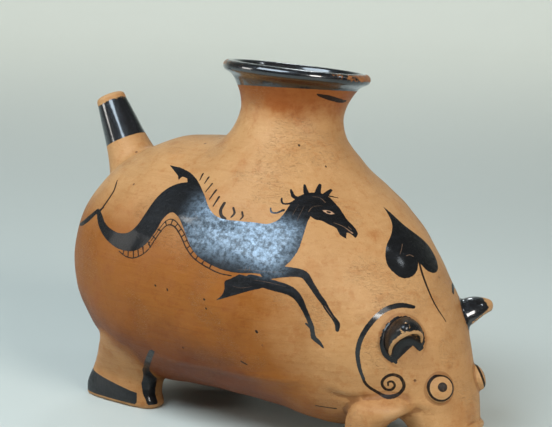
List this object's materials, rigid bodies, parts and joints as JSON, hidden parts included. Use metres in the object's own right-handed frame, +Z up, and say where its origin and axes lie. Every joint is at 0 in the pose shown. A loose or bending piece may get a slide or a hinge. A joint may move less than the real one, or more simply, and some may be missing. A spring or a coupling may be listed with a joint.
{
  "type": "feeding bottle",
  "caption": "Terracotta feeding bottle in the shape of a pig, hollow, with a wide flared filling mouth on its back and a narrow drinking spout for a tail.",
  "frame": {"origin": "centre of the footprint box, on the surface that the feet stand on", "axes": "+X from the spout towards the head, +Y the animal's left, +Z up"},
  "size_m": [0.1564, 0.0924, 0.1185],
  "materials": {
    "painted_terracotta": "fired orange-buff clay, burnished satin, with black gloss painting"
  },
  "bodies": {
    "root": {"vessel": "painted_terracotta"}
  },
  "joints": []
}
